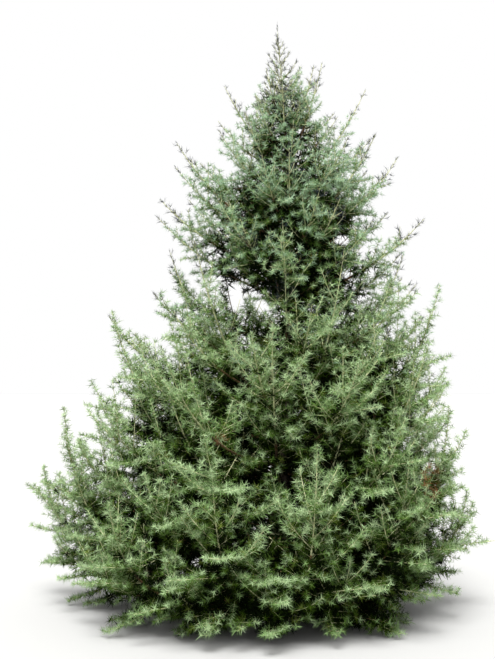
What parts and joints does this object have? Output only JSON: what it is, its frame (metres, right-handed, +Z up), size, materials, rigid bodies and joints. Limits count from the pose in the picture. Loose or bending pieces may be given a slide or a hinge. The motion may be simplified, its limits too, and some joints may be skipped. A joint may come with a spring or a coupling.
{
  "type": "blue deodar cedar tree",
  "caption": "Young blue deodar cedar, broad at the ground and narrowing to a leader, with upswept boughs carrying dense sprays of needles.",
  "frame": {"origin": "centre of the flat cut under the trunk, at ground level", "axes": "+Z up the tree, +X to the right in the picture, +Y away from the picture's camera"},
  "size_m": [3.0174, 2.5951, 3.7013],
  "materials": {
    "bark": "grey-brown young bark, finely cracked, matt",
    "needles": "blue-green needles with a pale waxy bloom, matt"
  },
  "bodies": {
    "root": {"trunk": "bark", "skirt_bough_01": "bark", "skirt_bough_02": "bark", "skirt_bough_03": "bark", "skirt_bough_04": "bark", "skirt_bough_05": "bark", "skirt_bough_06": "bark", "skirt_bough_07": "bark", "skirt_bough_08": "bark", "skirt_bough_09": "bark", "skirt_bough_10": "bark", "skirt_bough_11": "bark", "leader_foliage": "needles", "middle_foliage_01": "needles", "middle_foliage_02": "needles", "middle_foliage_03": "needles", "middle_foliage_04": "needles", "middle_foliage_05": "needles", "middle_foliage_06": "needles", "middle_foliage_07": "needles", "middle_foliage_08": "needles", "middle_foliage_09": "needles", "skirt_foliage_01": "needles", "skirt_foliage_02": "needles", "skirt_foliage_03": "needles", "skirt_foliage_04": "needles", "skirt_foliage_05": "needles", "skirt_foliage_06": "needles", "skirt_foliage_07": "needles", "skirt_foliage_08": "needles", "skirt_foliage_09": "needles", "skirt_foliage_10": "needles", "skirt_foliage_11": "needles", "top_foliage_01": "needles", "top_foliage_02": "needles", "top_foliage_03": "needles", "top_foliage_04": "needles", "top_foliage_05": "needles", "top_foliage_06": "needles", "top_foliage_07": "needles", "top_foliage_08": "needles", "top_foliage_09": "needles", "upper_foliage_01": "needles", "upper_foliage_02": "needles", "upper_foliage_03": "needles", "upper_foliage_04": "needles", "upper_foliage_05": "needles", "upper_foliage_06": "needles", "upper_foliage_07": "needles", "upper_foliage_08": "needles", "upper_foliage_09": "needles", "upper_foliage_10": "needles", "upper_foliage_11": "needles", "upper_foliage_12": "needles", "waist_foliage_01": "needles", "waist_foliage_02": "needles", "waist_foliage_03": "needles", "waist_foliage_04": "needles", "waist_foliage_05": "needles", "waist_foliage_06": "needles"}
  },
  "joints": []
}
